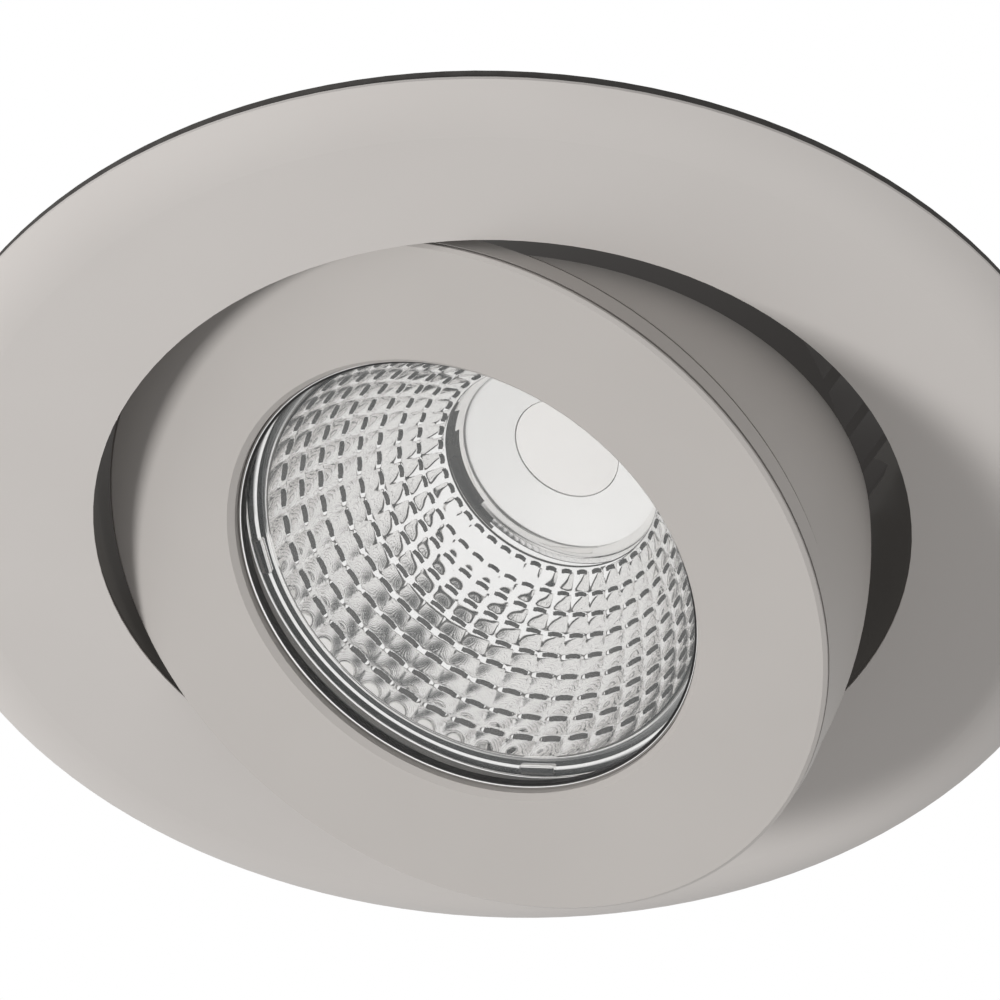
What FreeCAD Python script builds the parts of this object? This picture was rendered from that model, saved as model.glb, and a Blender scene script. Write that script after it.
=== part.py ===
import FreeCAD, Part
import math
import os
import Sketcher

# Recessed soffit downlight: a round trim ring with a swivelling inner ring, a tilting lamp head
# that hangs from an off-centre hinge, and two sprung arms that hold the trim against the soffit.
#
# Frame: millimetres, origin at the centre of the trim's back face, +Z up into the soffit, -Z out
# of it. The lamp is drawn swivelled by rest_swivel_angle and tilted by rest_tilt_angle.
# Head parts are drawn in the head's own frame: origin at the centre of its front face, +Z from the
# face towards the heat sink, +X towards the side that swings out, +Y along the hinge.

DIMENSIONS = {
    # everything round the lamp follows from the seat of its glass
    "seat_radius": 24.5,
    "face_width": 11.23,
    "rim_gap": 1.82,
    "neck_step": 2.95,
    "flange_width": 17.45,
    # trim ring
    "trim_depth": 3.1,
    "trim_wall": 1.3,
    "dome_width": 5.2,
    "edge_break": 0.3,
    "lip_thickness": 0.9,
    "lip_edge": 0.15,
    "neck_wall": 2.5,
    "neck_height": 11.0,
    "ledge_width": 6.6,
    "gasket_inset": 0.2,
    "gasket_depth": 1.0,
    # swivelling carrier ring and the ring that keeps it down
    "running_gap": 0.3,
    "carrier_wall": 2.4,
    "carrier_top": 15.0,
    "shoulder_top": 8.2,
    "shoulder_width": 0.8,
    "snap_thickness": 1.2,
    "snap_groove_depth": 0.9,
    "shield_front_start": 22.0,
    "shield_front_rise": 5.0,
    "shield_rear_start": 12.0,
    "shield_rear_rise": 11.0,
    "snap_gap_angle": 24.0,
    "stop_height": 0.8,
    "stop_width": 2.4,
    "stop_engagement": 0.6,
    # pose and hinge
    "rest_swivel_angle": 22.95,
    "rest_tilt_angle": 24.3,
    "hinge_offset": 19.6,
    "hinge_height": 1.9,
    "pivot_radius": 1.0,
    "pivot_running_gap": 0.04,
    "pivot_head_radius": 1.8,
    "pivot_head_height": 1.2,
    "ear_radius": 2.5,
    "ear_thickness": 1.8,
    "lug_length": 4.42,
    "washer_thickness": 0.4,
    "washer_gap": 0.15,
    "lug_radius": 1.8,
    "lug_web_height": 5.0,
    # tilting face and its skirt
    "hole_chamfer": 0.55,
    "face_thickness": 3.0,
    "rim_height": 2.5,
    "rim_groove_height": 0.7,
    "seam_start": 0.5,
    "seam_width": 0.25,
    "seam_depth": 0.35,
    "rim_groove_depth": 0.7,
    "skirt_step": 0.43,
    "skirt_wall": 1.5,
    "skirt_height": 25.6,
    "skirt_centre_offset": 6.73,
    "skirt_centre_height": 3.94,
    "skirt_cut_height": 8.76,
    "skirt_cut_angle": 25.66,
    "collar_wall": 2.5,
    "collar_height": 9.0,
    "hole_ledge": 1.44,
    "boss_radius": 2.7,
    "boss_offset": 2.8,
    "seat_depth": 1.3,
    "seat_gap": 0.1,
    # optics
    "seal_width": 1.9,
    "seal_thickness": 0.6,
    "glass_thickness": 2.0,
    "reflector_flange": 0.8,
    "mouth_step": 3.0,
    "mouth_lip": 0.5,
    "reflector_wall": 0.9,
    "throat_radius": 10.9,
    "throat_depth": 20.3,
    "throat_bulge": 1.5,
    "outlet_radius": 9.9,
    "throat_length": 2.2,
    "tab_width": 3.6,
    "tab_height": 0.4,
    "tab_angle": 47.5,
    # light source
    "holder_radius": 17.5,
    "holder_front_gap": 0.3,
    "holder_thickness": 2.8,
    "dish_depth": 1.2,
    "source_radius": 5.2,
    "source_height": 0.5,
    "source_gap": 0.1,
    "board_side": 19.0,
    "board_thickness": 1.0,
    "board_gap": 0.1,
    "pad_thickness": 0.4,
    "holder_screw_place": 14.4,
    # heat sink
    "cup_wall": 1.5,
    "sink_overhang": 1.5,
    "floor_thickness": 3.0,
    "hub_radius": 10.5,
    "fin_height": 13.0,
    "wire_way_radius": 2.6,
    "fin_count": 28,
    "fin_thickness": 1.4,
    "sink_ear_radius": 3.2,
    "sink_ear_thickness": 2.5,
    # cable inlet
    "gland_bore_radius": 3.1,
    "gland_thread_radius": 6.0,
    "gland_thread_length": 8.0,
    "gland_hex_across": 15.0,
    "gland_hex_height": 4.0,
    "gland_cap_radius": 6.9,
    "gland_cap_height": 6.0,
    # screws
    "m3_radius": 1.5,
    "m3_head_radius": 2.4,
    "m3_head_height": 1.6,
    "m3_length": 7.0,
    "m2_radius": 1.0,
    "m2_head_radius": 1.8,
    "m2_head_height": 1.1,
    "m2_length": 2.4,
    "hex_key": 1.5,
    "key_depth": 0.8,
    # sprung arms
    "pad_half_width": 7.5,
    "bracket_plate": 0.8,
    "bracket_bottom": 0.4,
    "bracket_reach": 5.6,
    "cheek_inner": 5.3,
    "cheek_bottom": 9.4,
    "pin_reach": 3.4,
    "pin_height": 12.0,
    "pin_radius": 1.2,
    "pin_running_gap": 0.05,
    "pin_head_radius": 1.8,
    "pin_head_height": 0.7,
    "clip_screw_height": 4.2,
    "clip_screw_spacing": 7.4,
    "arm_droop_angle": 15.0,
    "arm_length": 37.0,
    "arm_thickness": 1.0,
    "arm_lift": 0.2,
    "arm_start": 2.6,
    "eye_outer": 5.0,
    "eye_thickness": 0.8,
    "eye_radius": 2.2,
    "sleeve_length": 12.0,
    "sleeve_wall": 1.2,
    "sleeve_overhang": 1.5,
    "wire_radius": 0.5,
    "coil_radius": 1.95,
    "coil_pitch": 1.45,
    "coil_full_turns": 3,
    "coil_arm_leg": 12.0,
    "coil_plate_leg": 4.6,
}

doc = FreeCAD.newDocument("soffit_downlight")
sheet = doc.addObject("Spreadsheet::Sheet", "dim")
for row, (name, number) in enumerate(DIMENSIONS.items(), start=1):
    sheet.set(f"A{row}", name)
    sheet.set(f"B{row}", str(number))
    sheet.setAlias(f"B{row}", name)
doc.recompute()

# Radii and heights that follow from the sizes above, in the sheet's own words.
SEATED_RADIUS = "(dim.seat_radius - dim.seat_gap)"
FACE_HOLE = "(dim.seat_radius - dim.hole_ledge)"
SEAL_INNER = f"({SEATED_RADIUS} - dim.seal_width)"
MOUTH_RADIUS = "(dim.seat_radius - dim.mouth_step)"
CUP_INNER = f"({SEATED_RADIUS} - dim.cup_wall)"
SINK_RADIUS = "(dim.seat_radius + dim.sink_overhang)"
COLLAR_OUTER = "(dim.seat_radius + dim.collar_wall)"
BOSS_CIRCLE = f"({SINK_RADIUS} + dim.boss_offset)"
FACE_RADIUS = "(dim.seat_radius + dim.face_width)"
OPENING_RADIUS = f"({FACE_RADIUS} + dim.rim_gap)"
TRIM_RADIUS = f"({OPENING_RADIUS} + dim.flange_width)"
NECK_INNER = f"({OPENING_RADIUS} + dim.neck_step)"
NECK_OUTER = f"({NECK_INNER} + dim.neck_wall)"
GASKET_INNER = f"({NECK_OUTER} + dim.ledge_width)"
LIP_BACK = "(dim.lip_thickness - dim.trim_depth)"
CARRIER_OUTER = f"({NECK_INNER} - dim.running_gap)"
CARRIER_INNER = f"({CARRIER_OUTER} - dim.carrier_wall)"
UPPER_OUTER = f"({CARRIER_OUTER} - dim.shoulder_width)"
SNAP_INNER = f"({UPPER_OUTER} + dim.running_gap)"
SNAP_BOTTOM = "(dim.shoulder_top + dim.running_gap)"
SNAP_TOP = f"({SNAP_BOTTOM} + dim.snap_thickness)"
SNAP_OUTER = f"({NECK_INNER} + dim.snap_groove_depth)"
HINGE_DEPTH = "(dim.hinge_height + dim.trim_depth)"
LUG_REACH = f"sqrt({CARRIER_INNER} ^ 2 - dim.hinge_offset ^ 2)"
LUG_INNER = f"({LUG_REACH} - dim.lug_length)"
EAR_OUTER = f"({LUG_INNER} - dim.washer_thickness - 2 * dim.washer_gap)"
EAR_INNER = f"({EAR_OUTER} - dim.ear_thickness)"
GLASS_FRONT = "(dim.seat_depth + dim.seal_thickness)"
GLASS_BACK = f"({GLASS_FRONT} + dim.glass_thickness)"
FLANGE_BACK = f"({GLASS_BACK} + dim.reflector_flange)"
MOUTH_DEPTH = f"({GLASS_BACK} + dim.mouth_lip)"
OUTLET_DEPTH = "(dim.throat_depth + dim.throat_length)"
HOLDER_FRONT = f"({OUTLET_DEPTH} + dim.holder_front_gap)"
HOLDER_TOP = f"({HOLDER_FRONT} + dim.holder_thickness)"
SINK_FLOOR = f"({HOLDER_TOP} + dim.pad_thickness)"
FIN_BOTTOM = f"({SINK_FLOOR} + dim.floor_thickness)"
SINK_TOP = f"({FIN_BOTTOM} + dim.fin_height)"
BOARD_BOTTOM = f"({HOLDER_TOP} - dim.board_thickness)"
PIN_PLACE = f"({NECK_OUTER} + dim.pin_reach)"
PLATE_FACE = f"({NECK_OUTER} + dim.bracket_plate)"


def value(expression):
    """The present number of an expression of the sheet's sizes."""
    found = sheet.evalExpression(str(expression))
    return float(getattr(found, "Value", found))


def bind(item, **expressions):
    """Ties properties to expressions; a double underscore stands for a dot."""
    for name, expression in expressions.items():
        item.setExpression(name.replace("__", "."), str(expression))
    return item


def add_frame(name, axis, angle, **base):
    """A named placement that turns about an axis and shifts to a base point."""
    frame = doc.addObject("App::Placement", name)
    frame.Placement = FreeCAD.Placement(FreeCAD.Vector(), FreeCAD.Rotation(FreeCAD.Vector(*axis), 10))
    bind(frame, Placement__Rotation__Angle=f"({angle}) * 1 deg")
    for letter, expression in base.items():
        bind(frame, **{f"Placement__Base__{letter}": expression})
    return frame


ALONG_Y = (0, 1, 0)
ALONG_Z = (0, 0, 1)
TILT_COS = "cos(dim.rest_tilt_angle * 1 deg)"
TILT_SIN = "sin(dim.rest_tilt_angle * 1 deg)"
add_frame("swivel_frame", ALONG_Z, "dim.rest_swivel_angle")
add_frame(
    "tilt_frame",
    ALONG_Y,
    "dim.rest_tilt_angle",
    x=f"-dim.hinge_offset + dim.hinge_offset * {TILT_COS} - {HINGE_DEPTH} * {TILT_SIN}",
    z=f"dim.hinge_height - dim.hinge_offset * {TILT_SIN} - {HINGE_DEPTH} * {TILT_COS}",
)
add_frame("right_frame", ALONG_Z, "0")
add_frame("left_frame", ALONG_Z, "180")
add_frame("arm_frame", ALONG_Y, "dim.arm_droop_angle", x=PIN_PLACE, z="dim.pin_height")

ON_TRIM = None
ON_CARRIER = "swivel_frame.Placement"
ON_HEAD = "swivel_frame.Placement * tilt_frame.Placement"
SIDES = {"right": "right_frame.Placement", "left": "left_frame.Placement"}
nodes = []


def node(item, label, frame=ON_TRIM):
    """Names a finished sub-part and puts it in its frame."""
    item.Label = label
    if frame:
        bind(item, Placement=frame)
    nodes.append(item)
    return item


def edge_geometry(start, end, centre):
    """A straight edge, or an arc about a centre; also says whether the arc runs clockwise."""
    first = FreeCAD.Vector(start[0], start[1], 0)
    last = FreeCAD.Vector(end[0], end[1], 0)
    if centre is None:
        return Part.LineSegment(first, last), False
    middle = FreeCAD.Vector(centre[0], centre[1], 0)
    start_angle = math.atan2(first.y - middle.y, first.x - middle.x)
    end_angle = math.atan2(last.y - middle.y, last.x - middle.x)
    clockwise = (end_angle - start_angle) % (2 * math.pi) > math.pi
    circle = Part.Circle(middle, FreeCAD.Vector(0, 0, 1), first.distanceToPoint(middle))
    if clockwise:
        return Part.ArcOfCircle(circle, end_angle, start_angle), True
    return Part.ArcOfCircle(circle, start_angle, end_angle), False


def outline_points(outline):
    """Numbers for an outline; a coordinate left out of an arc's end is found from its centre."""
    points = []
    for step in outline:
        x_text, y_text = step[0], step[1]
        centre = None
        if len(step) == 3:
            centre = (value(step[2][0]), value(step[2][1]))
            reach = math.hypot(points[-1][0] - centre[0], points[-1][1] - centre[1])
        if x_text is None:
            y = value(y_text)
            x = centre[0] + math.sqrt(reach**2 - (y - centre[1]) ** 2)
        elif y_text is None:
            x = value(x_text)
            y = centre[1] - math.sqrt(reach**2 - (x - centre[0]) ** 2)
        else:
            x, y = value(x_text), value(y_text)
        points.append((x, y, centre))
    return points


def add_sketch(body, name, plane, outline, offset=None):
    """A closed outline on one of the body's planes. Each step is (x, y), or (x, y, centre) where
    an arc about the centre arrives there. Every coordinate is bound to the sheet."""
    support = [f for f in body.Origin.OriginFeatures if f.Role == plane][0]
    sketch = body.newObject("Sketcher::SketchObject", name)
    sketch.AttachmentSupport = [(support, "")]
    sketch.MapMode = "FlatFace"
    if offset:
        bind(sketch, AttachmentOffset__Base__z=offset)
    points = outline_points(outline)
    count = len(points)
    starts, ends = [], []
    for i in range(count):
        follower = points[(i + 1) % count]
        shape, clockwise = edge_geometry(points[i], follower, follower[2])
        sketch.addGeometry(shape, False)
        starts.append(2 if clockwise else 1)
        ends.append(1 if clockwise else 2)
    for i in range(count):
        j = (i + 1) % count
        sketch.addConstraint(Sketcher.Constraint("Coincident", i, ends[i], j, starts[j]))
    for i, step in enumerate(outline):
        tie(sketch, i, starts[i], step[0], step[1])
        if len(step) == 3:
            tie(sketch, (i - 1) % count, 3, step[2][0], step[2][1])
    return sketch


def tie(sketch, edge, spot, x_text, y_text):
    """Fixes a point of a sketch by its distances from the sketch's origin."""
    for kind, axis, text in (("DistanceX", -2, x_text), ("DistanceY", -1, y_text)):
        if text is None:
            continue
        if text == "0":
            sketch.addConstraint(Sketcher.Constraint("PointOnObject", edge, spot, axis))
            continue
        index = sketch.addConstraint(Sketcher.Constraint(kind, -1, 1, edge, spot, value(text)))
        sketch.setExpression(f"Constraints[{index}]", text)


def add_revolution(body, name, outline):
    """Turns an outline drawn in the XZ plane about the body's Z axis."""
    sketch = add_sketch(body, name + "_outline", "XZ_Plane", outline)
    turned = body.newObject("PartDesign::Revolution", name)
    turned.Profile = sketch
    turned.ReferenceAxis = (sketch, ["V_Axis"])
    turned.Angle = 360
    return turned


def turned_body(name, outline):
    """A body that is one outline turned about Z."""
    body = doc.addObject("PartDesign::Body", name)
    add_revolution(body, name + "_solid", outline)
    return body


def band(inner, outer, bottom, top):
    """The outline of a plain ring or disc."""
    return [(inner, bottom), (outer, bottom), (outer, top), (inner, top)]


def cylinder(name, radius, height, x="0", y="0", z="0", axis="z"):
    """A cylinder that starts at a point and runs along +Z, or along +Y."""
    rod = doc.addObject("Part::Cylinder", name)
    if axis == "y":
        rod.Placement = FreeCAD.Placement(FreeCAD.Vector(), FreeCAD.Rotation(FreeCAD.Vector(1, 0, 0), -90))
    return bind(rod, Radius=radius, Height=height, Placement__Base__x=x, Placement__Base__y=y,
                Placement__Base__z=z)


def box(name, x, y, z):
    """A box between two expressions on each axis."""
    block = doc.addObject("Part::Box", name)
    return bind(block, Length=f"({x[1]}) - ({x[0]})", Width=f"({y[1]}) - ({y[0]})",
                Height=f"({z[1]}) - ({z[0]})", Placement__Base__x=x[0], Placement__Base__y=y[0],
                Placement__Base__z=z[0])


def hexagon(name, corner_radius, height, z):
    """A hexagonal bar about the Z axis."""
    prism = doc.addObject("Part::Prism", name)
    prism.Polygon = 6
    return bind(prism, Circumradius=corner_radius, Height=height, Placement__Base__z=z)


def join(name, items):
    """Items fused into one solid."""
    fused = doc.addObject("Part::MultiFuse", name)
    fused.Shapes = items
    return fused


def subtract(name, base, tools):
    """A base with tools cut out of it."""
    tool = tools[0] if len(tools) == 1 else join(name + "_tools", tools)
    made = doc.addObject("Part::Cut", name)
    made.Base = base
    made.Tool = tool
    return made


def group(name, items):
    """Separate solids that share one node."""
    compound = doc.addObject("Part::Compound", name)
    compound.Links = items
    return compound


def placed(item, x, y, z, axis=ALONG_Z, angle="0"):
    """Puts an item at a point, turned about an axis."""
    item.Placement = FreeCAD.Placement(FreeCAD.Vector(), FreeCAD.Rotation(FreeCAD.Vector(*axis), 10))
    return bind(item, Placement__Base__x=x, Placement__Base__y=y, Placement__Base__z=z,
                Placement__Rotation__Angle=f"({angle}) * 1 deg")


def around(radius, angle):
    """The x and y expressions of a point on a circle."""
    return f"{radius} * cos(({angle}) * 1 deg)", f"{radius} * sin(({angle}) * 1 deg)"


def screw(name, radius, length, head_radius, head_height):
    """A socket screw: head on +Z above z = 0, shank below it."""
    shank = cylinder(name + "_shank", radius, f"{length} + {head_height} / 2", z=f"-({length})")
    head = cylinder(name + "_head", head_radius, head_height)
    socket = hexagon(name + "_socket", "dim.hex_key / sqrt(3)", "dim.key_depth + 1",
                     f"{head_height} - dim.key_depth")
    return subtract(name, join(name + "_blank", [shank, head]), [socket])


# ---------------------------------------------------------------- trim ring and what stays with it


def make_trim_ring():
    """Flange with a flat face, a domed border and a short neck that goes through the soffit."""
    sagitta = "(dim.trim_depth - dim.trim_wall)"
    dome = f"((dim.dome_width ^ 2 + {sagitta} ^ 2) / (2 * {sagitta}))"
    ring = turned_body("trim_turned", [
        (OPENING_RADIUS, "-dim.trim_depth"),
        (f"{TRIM_RADIUS} - dim.dome_width", "-dim.trim_depth"),
        (TRIM_RADIUS, None, (f"{TRIM_RADIUS} - dim.dome_width", f"{dome} - dim.trim_depth")),
        (TRIM_RADIUS, "-dim.gasket_depth"),
        (GASKET_INNER, "-dim.gasket_depth"),
        (GASKET_INNER, "0"),
        (NECK_OUTER, "0"),
        (NECK_OUTER, "dim.neck_height"),
        (NECK_INNER, "dim.neck_height"),
        (NECK_INNER, SNAP_TOP),
        (SNAP_OUTER, SNAP_TOP),
        (SNAP_OUTER, SNAP_BOTTOM),
        (NECK_INNER, SNAP_BOTTOM),
        (NECK_INNER, LIP_BACK),
        (f"{OPENING_RADIUS} + dim.lip_thickness - dim.lip_edge", LIP_BACK),
        (OPENING_RADIUS, "dim.lip_edge - dim.trim_depth"),
    ])
    extras, holes = [], []
    for side, sign in (("right", ""), ("left", "-")):
        faces = (f"{NECK_OUTER} - 1", NECK_OUTER)
        ends = faces if side == "right" else (f"-{faces[1]}", f"-({faces[0]})")
        extras.append(box(f"pad_{side}", ends, ("-dim.pad_half_width", "dim.pad_half_width"),
                          ("0", "dim.neck_height")))
        for row, half in (("front", "-dim.clip_screw_spacing / 2"), ("rear", "dim.clip_screw_spacing / 2")):
            hole = doc.addObject("Part::Cylinder", f"pad_hole_{side}_{row}")
            bind(hole, Radius="dim.m2_radius", Height="dim.m2_length")
            start = f"{sign}({PLATE_FACE} - dim.m2_length)"
            turn = "90" if side == "right" else "-90"
            holes.append(placed(hole, start, half, "dim.clip_screw_height", ALONG_Y, turn))
    # the swivel's stop: a block inside the neck's top, opposite the carrier's own
    stop = box("neck_stop", (f"-({CARRIER_OUTER}) - 1.5", f"-({UPPER_OUTER} + dim.running_gap / 2)"),
               ("-dim.stop_width / 2", "dim.stop_width / 2"),
               (SNAP_TOP, "dim.neck_height"))
    stop_turned = group("neck_stop_turned", [stop])
    bind(stop_turned, Placement="swivel_frame.Placement")
    node(subtract("trim_ring", join("trim_joined", [ring] + extras + [stop_turned]), holes), "trim_ring")


def make_gasket():
    """Sealing ring at the back of the flange's border."""
    outer = f"{TRIM_RADIUS} - dim.gasket_inset"
    node(turned_body("gasket", band(GASKET_INNER, outer, "-dim.gasket_depth", "0")),
         "ceiling_gasket")


def make_snap_ring():
    """Open ring in the neck's groove; the carrier turns under it."""
    ring = turned_body("snap_turned", band(SNAP_INNER, SNAP_OUTER, SNAP_BOTTOM, SNAP_TOP))
    gap = doc.addObject("Part::Cylinder", "snap_gap")
    bind(gap, Radius=NECK_OUTER, Height="dim.snap_thickness + 2", Angle="dim.snap_gap_angle")
    placed(gap, "0", "0", f"{SNAP_BOTTOM} - 1", ALONG_Z, "90 - dim.snap_gap_angle / 2")
    node(subtract("snap_ring", ring, [gap]), "snap_ring")


# ---------------------------------------------------------------- swivelling carrier


def make_carrier():
    """Black ring that turns in the neck and carries the hinge lugs."""
    bottom = f"{LIP_BACK} + dim.running_gap"
    top = "(dim.carrier_top + dim.shield_rear_rise)"
    body = turned_body("carrier_turned", [
        (CARRIER_INNER, bottom),
        (CARRIER_OUTER, bottom),
        (CARRIER_OUTER, "dim.shoulder_top"),
        (UPPER_OUTER, "dim.shoulder_top"),
        (UPPER_OUTER, top),
        (CARRIER_INNER, top),
    ])
    # The wall rises behind the head and in front of it, so that no light passes the heat sink.
    sketch = add_sketch(body, "shield_outline", "XZ_Plane", [
        ("-dim.shield_front_start", "dim.carrier_top"),
        ("dim.shield_rear_start", "dim.carrier_top"),
        (CARRIER_OUTER, top),
        (CARRIER_OUTER, f"2 * {top}"),
        (f"-{CARRIER_OUTER}", f"2 * {top}"),
        (f"-{CARRIER_OUTER}", "dim.carrier_top + dim.shield_front_rise"),
    ])
    cut = body.newObject("PartDesign::Pocket", "shield_cut")
    cut.Profile = sketch
    cut.Type = "ThroughAll"
    cut.Midplane = True
    ring = body
    stop_bottom = f"{SNAP_TOP} + dim.running_gap / 2"
    stop = box("carrier_stop", (f"{UPPER_OUTER} - 1", f"{UPPER_OUTER} + dim.stop_engagement"),
               ("-dim.stop_width / 2", "dim.stop_width / 2"),
               (stop_bottom, f"{stop_bottom} + dim.stop_height"))
    wall = cylinder("lug_limit", f"{CARRIER_INNER} + dim.carrier_wall / 2", "dim.carrier_top")
    lugs, holes = [], []
    for side, sign in (("rear", ""), ("front", "-")):
        reach = (LUG_INNER, CARRIER_INNER)
        ends = reach if side == "rear" else (f"-{reach[1]}", f"-{reach[0]}")
        round_end = cylinder(f"lug_round_{side}", "dim.lug_radius", f"({ends[1]}) - ({ends[0]})",
                             "-dim.hinge_offset", ends[0], "dim.hinge_height", "y")
        web = box(f"lug_web_{side}", ("-dim.hinge_offset - dim.lug_radius", "-dim.hinge_offset + dim.lug_radius"),
                  ends, ("dim.hinge_height", "dim.hinge_height + dim.lug_web_height"))
        lugs += [round_end, web]
        holes.append(cylinder(f"lug_hole_{side}", "dim.pivot_radius", f"({ends[1]}) - ({ends[0]})",
                              "-dim.hinge_offset", ends[0], "dim.hinge_height", "y"))
    kept = doc.addObject("Part::MultiCommon", "lugs_kept")
    kept.Shapes = [join("lugs_blank", lugs), wall]
    whole = join("carrier_joined", [ring, stop, kept])
    node(subtract("carrier_ring", whole, holes), "carrier_ring", ON_CARRIER)


def hinge_pair(name, make):
    """The same piece at both ends of the hinge; the front one is the rear one turned about X."""
    rear = make(name + "_rear")
    front = make(name + "_front")
    placed(rear, "-dim.hinge_offset", "0", "dim.hinge_height", (1, 0, 0), "-90")
    placed(front, "-dim.hinge_offset", "0", "dim.hinge_height", (1, 0, 0), "90")
    return group(name, [rear, front])


def make_pivot_pins():
    """Shoulder pins, headed on the inside, fixed in the carrier's lugs."""
    head_face = f"({EAR_INNER} - dim.running_gap)"

    def pin(name):
        shank = cylinder(name + "_shank", "dim.pivot_radius", f"{LUG_REACH} - {head_face} + dim.pivot_head_height / 2",
                         z=f"{head_face} - dim.pivot_head_height / 2")
        head = cylinder(name + "_head", "dim.pivot_head_radius", "dim.pivot_head_height",
                        z=f"{head_face} - dim.pivot_head_height")
        slot = hexagon(name + "_socket", "dim.hex_key / sqrt(3)", "dim.key_depth",
                       f"{head_face} - dim.pivot_head_height")
        return group(name, [subtract(name + "_cut", join(name + "_blank", [shank, head]), [slot])])

    node(hinge_pair("pivot_pins", pin), "pivot_pins", ON_CARRIER)


def make_friction_washers():
    """Washers between the head's ears and the carrier's lugs."""

    def washer(name):
        disc = cylinder(name + "_disc", "dim.lug_radius", "dim.washer_thickness", z=f"{EAR_OUTER} + dim.washer_gap")
        hole = cylinder(name + "_hole", "dim.pivot_radius", "dim.washer_thickness",
                        z=f"{EAR_OUTER} + dim.washer_gap")
        return group(name, [subtract(name + "_cut", disc, [hole])])

    node(hinge_pair("friction_washers", washer), "friction_washers", ON_CARRIER)


# ---------------------------------------------------------------- tilting head


def make_face_ring():
    """Face, rim and the skirt that fills the gap on the side that swings out."""
    body = doc.addObject("PartDesign::Body", "face_body")
    centre = ("-dim.skirt_centre_offset", "dim.skirt_centre_height")
    groove_top = "(dim.rim_height + dim.rim_groove_height)"
    outer_start = f"({FACE_RADIUS} - dim.skirt_step)"
    arm = f"({outer_start} + dim.skirt_centre_offset)"
    reach = f"sqrt({arm} ^ 2 + (dim.skirt_centre_height - {groove_top}) ^ 2)"
    climb = "(dim.skirt_height - dim.skirt_centre_height)"
    inner_end = f"sqrt(({reach} - dim.skirt_wall) ^ 2 - {climb} ^ 2) - dim.skirt_centre_offset"
    add_revolution(body, "face_turned", [
        (f"{FACE_HOLE} + dim.hole_chamfer", "0"),
        (f"{FACE_RADIUS} - dim.edge_break", "0"),
        (FACE_RADIUS, "dim.edge_break"),
        (FACE_RADIUS, "dim.seam_start"),
        (f"{FACE_RADIUS} - dim.seam_depth", "dim.seam_start"),
        (f"{FACE_RADIUS} - dim.seam_depth", "dim.seam_start + dim.seam_width"),
        (FACE_RADIUS, "dim.seam_start + dim.seam_width"),
        (FACE_RADIUS, "dim.rim_height"),
        (f"{FACE_RADIUS} - dim.rim_groove_depth", "dim.rim_height"),
        (f"{FACE_RADIUS} - dim.rim_groove_depth", groove_top),
        (outer_start, groove_top),
        (None, "dim.skirt_height", centre),
        (inner_end, "dim.skirt_height"),
        (None, "dim.face_thickness", centre),
        ("dim.seat_radius", "dim.face_thickness"),
        ("dim.seat_radius", "dim.seat_depth"),
        (FACE_HOLE, "dim.seat_depth"),
        (FACE_HOLE, "dim.hole_chamfer"),
    ])
    # A plane cut: the skirt's upper edge lies nearly level when the head is fully tilted.
    far = f"({FACE_RADIUS} + 10)"
    rise = "tan(dim.skirt_cut_angle * 1 deg)"
    sketch = add_sketch(body, "skirt_cut_outline", "XZ_Plane", [
        (f"(dim.face_thickness - dim.skirt_cut_height) / {rise}", "dim.face_thickness"),
        (far, f"dim.skirt_cut_height + {far} * {rise}"),
        (far, "dim.skirt_height + 20"),
        (f"-{far}", "dim.skirt_height + 20"),
        (f"-{far}", "dim.face_thickness"),
    ])
    cut = body.newObject("PartDesign::Pocket", "skirt_cut")
    cut.Profile = sketch
    cut.Type = "ThroughAll"
    cut.Midplane = True
    add_revolution(body, "collar_turned", band("dim.seat_radius", COLLAR_OUTER,
                                               "dim.face_thickness - 0.5", "dim.collar_height"))
    return body


def make_head_ring():
    """The face ring with its screw bosses and hinge ears."""
    extras, holes = [], []
    for i in range(3):
        x, y = around(BOSS_CIRCLE, f"60 + {i} * 120")
        extras.append(cylinder(f"boss_{i}", "dim.boss_radius", "dim.collar_height - dim.face_thickness + 0.5",
                               x, y, "dim.face_thickness - 0.5"))
        holes.append(cylinder(f"boss_hole_{i}", "dim.m3_radius",
                              "dim.m3_length - dim.sink_ear_thickness", x, y,
                              "dim.collar_height - dim.m3_length + dim.sink_ear_thickness"))
    for side in ("rear", "front"):
        ends = (EAR_INNER, EAR_OUTER) if side == "rear" else (f"-{EAR_OUTER}", f"-{EAR_INNER}")
        extras.append(cylinder(f"ear_round_{side}", "dim.ear_radius", "dim.ear_thickness",
                               "-dim.hinge_offset", ends[0], HINGE_DEPTH, "y"))
        extras.append(box(f"ear_foot_{side}", ("-dim.hinge_offset - dim.ear_radius", "-dim.hinge_offset + dim.ear_radius"),
                          ends, ("dim.face_thickness - 0.5", HINGE_DEPTH)))
        holes.append(cylinder(f"ear_hole_{side}", "dim.pivot_radius + dim.pivot_running_gap",
                              "dim.ear_thickness", "-dim.hinge_offset", ends[0], HINGE_DEPTH, "y"))
    whole = join("head_joined", [make_face_ring()] + extras)
    node(subtract("gimbal_ring", whole, holes), "gimbal_ring", ON_HEAD)


def make_glass():
    """Flat clear cover and the seal in front of it."""
    node(turned_body("seal", band(SEAL_INNER, SEATED_RADIUS, "dim.seat_depth", GLASS_FRONT)),
         "glass_seal", ON_HEAD)
    disc = cylinder("glass_disc", SEATED_RADIUS, "dim.glass_thickness", z=GLASS_FRONT)
    node(group("glass_in_place", [disc]), "front_glass", ON_HEAD)


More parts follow.
